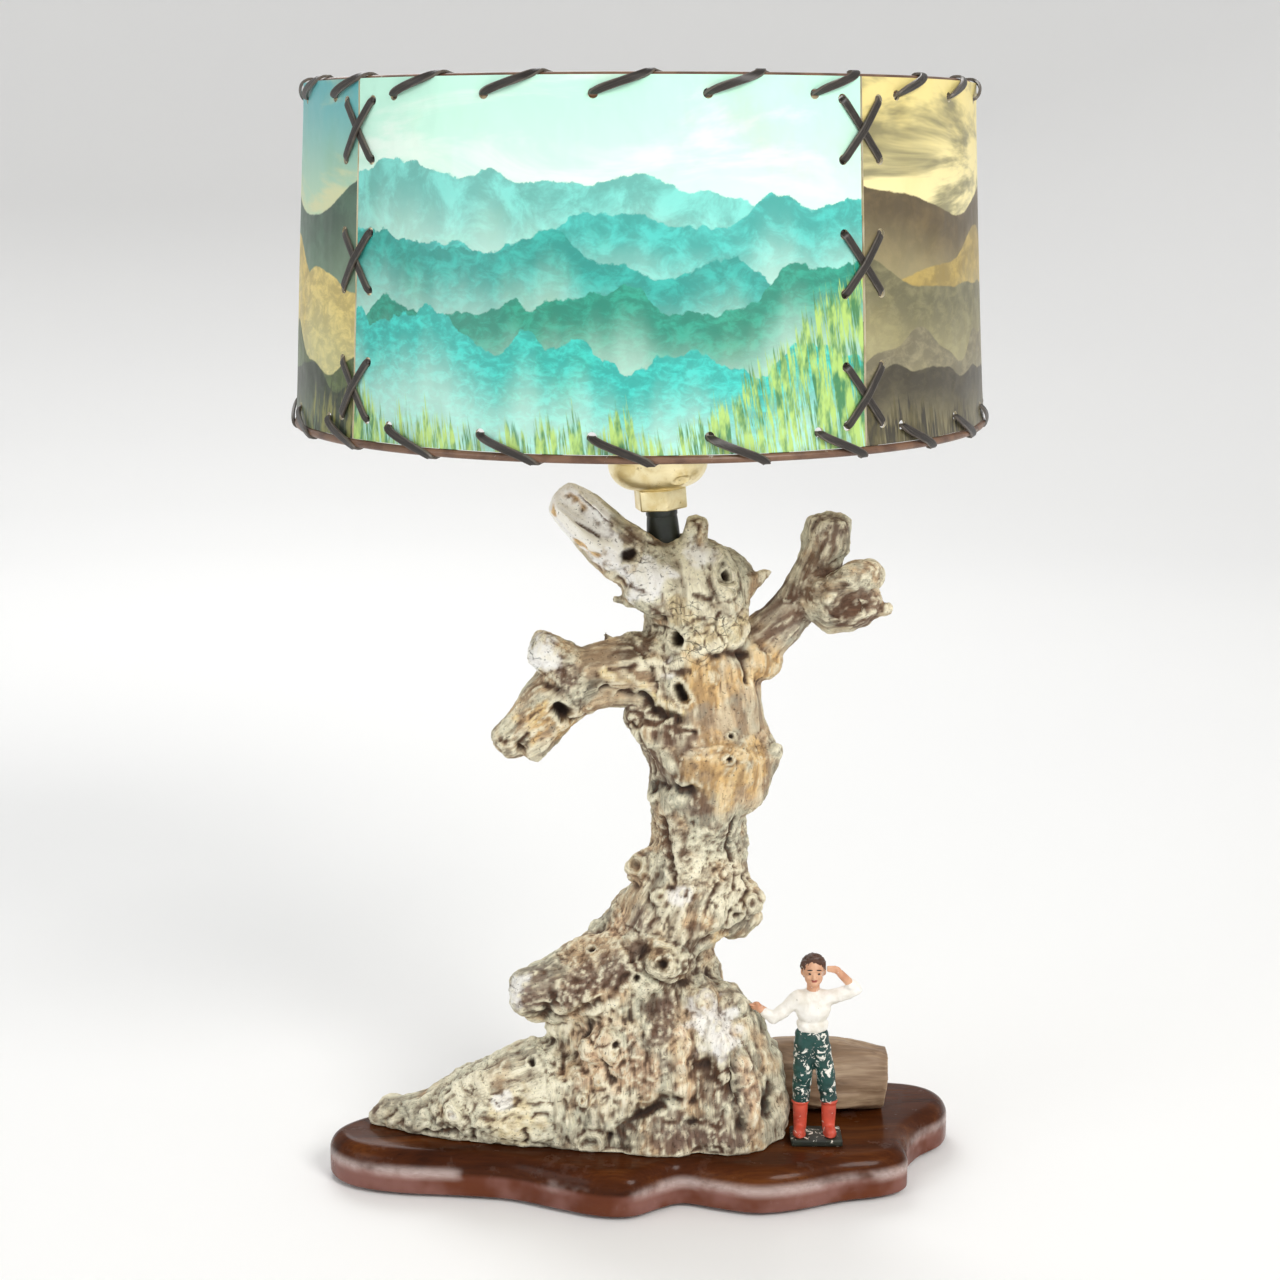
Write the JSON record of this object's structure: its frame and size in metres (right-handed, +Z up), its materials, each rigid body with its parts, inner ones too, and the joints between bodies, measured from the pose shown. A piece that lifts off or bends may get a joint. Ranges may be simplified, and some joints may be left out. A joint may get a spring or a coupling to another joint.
{
  "type": "driftwood table lamp",
  "caption": "Table lamp on a gnarled driftwood stem with a wavy board, a small painted figure at its foot and a laced drum shade clipped to the bulb.",
  "frame": {"origin": "on the table, at the felt pad's underside, under the axis about which the shade turns", "axes": "+Z up, -Y towards the viewer of the front, +X to the right of the front"},
  "size_m": [0.2729, 0.2735, 0.4466],
  "materials": {
    "mahogany": "gloss varnish",
    "felt": "felt",
    "steel": "satin",
    "driftwood": "weathered",
    "log_wood": "oiled",
    "figure_paint": "chipped paint",
    "black_plastic": "moulded",
    "dark_paint": "satin",
    "brass": "satin",
    "fibre": "matt",
    "brown_moulding": "moulded",
    "bulb_metal": "satin",
    "opal_glass": "frosted",
    "front_print": "varnished print",
    "side_print": "varnished print",
    "wire": "satin",
    "lace": "plastic lace"
  },
  "bodies": {
    "stand": {"base_board": "mahogany", "felt_pad": "felt", "base_screws": "steel", "driftwood_trunk": "driftwood", "side_log": "log_wood", "figurine": "figure_paint", "cord_bushing": "black_plastic", "nipple": "steel", "neck_spacer": "dark_paint", "socket_cap": "brass", "socket_shell": "brass", "insulating_sleeve": "fibre", "socket_body": "brown_moulding", "screw_shell": "brass", "centre_contact": "brass", "terminal_screws": "brass", "bulb_tip": "steel", "bulb_insulator": "black_plastic", "bulb_screw_cap": "bulb_metal", "bulb_glass": "opal_glass"},
    "switch": {"switch_shaft": "steel", "switch_key": "black_plastic"},
    "shade": {"front_panel": "front_print", "right_panel": "side_print", "back_panel": "front_print", "left_panel": "side_print", "top_ring": "wire", "bottom_ring": "wire", "left_bulb_clip": "steel", "right_bulb_clip": "steel", "top_lacing": "lace", "bottom_lacing": "lace", "front_left_seam_lacing": "lace", "front_right_seam_lacing": "lace", "back_right_seam_lacing": "lace", "back_left_seam_lacing": "lace"}
  },
  "joints": [
    {"name": "shade_turn", "type": "hinge", "parent": "stand", "child": "shade", "pos_m": [0, 0, 0.38964], "axis": [0, 0, 1], "continuous": true},
    {"name": "switch_turn", "type": "hinge", "parent": "stand", "child": "switch", "pos_m": [0.00629, 0, 0.30788], "axis": [0.9971, 0, 0.0767], "continuous": true}
  ]
}
